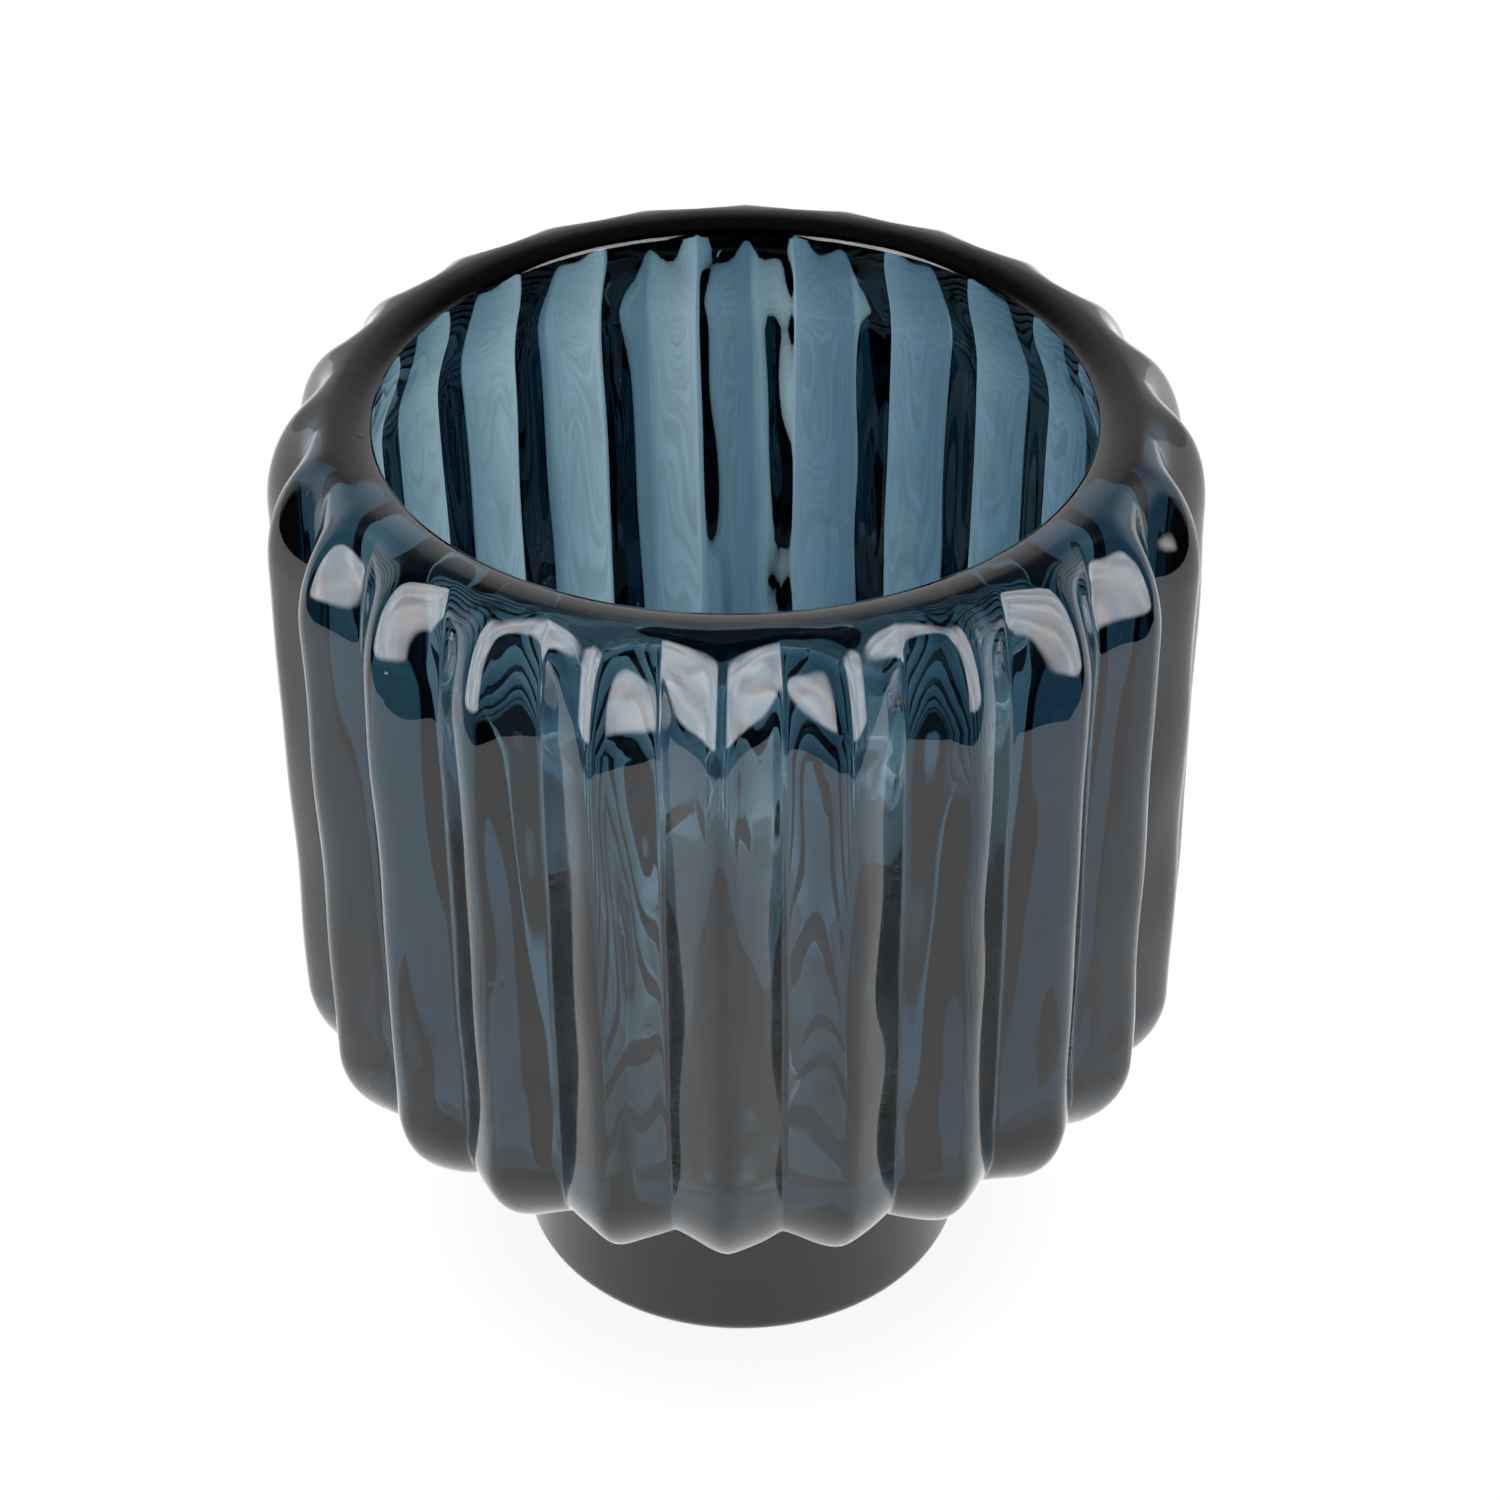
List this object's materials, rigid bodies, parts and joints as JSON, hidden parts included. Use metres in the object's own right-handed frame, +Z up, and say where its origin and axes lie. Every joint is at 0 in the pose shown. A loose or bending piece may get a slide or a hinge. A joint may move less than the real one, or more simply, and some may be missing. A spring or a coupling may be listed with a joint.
{
  "type": "ribbed glass vase",
  "caption": "Small wide-mouthed vase of smoky blue glass with rounded vertical ribs, a smooth inside, a smooth rim and a short round foot.",
  "frame": {"origin": "centre of the foot's underside, on the plane it stands on", "axes": "+Z up along the vase's axis, out of the mouth; a rib crest faces -Y and another faces +X"},
  "size_m": [0.0908, 0.0908, 0.1006],
  "materials": {
    "smoky_glass": "fire-polished, transparent smoky blue-grey",
    "clear_bond": "clear cured glass adhesive"
  },
  "bodies": {
    "root": {"ribbed_bowl": "smoky_glass", "foot": "smoky_glass", "bond_layer": "clear_bond"}
  },
  "joints": []
}
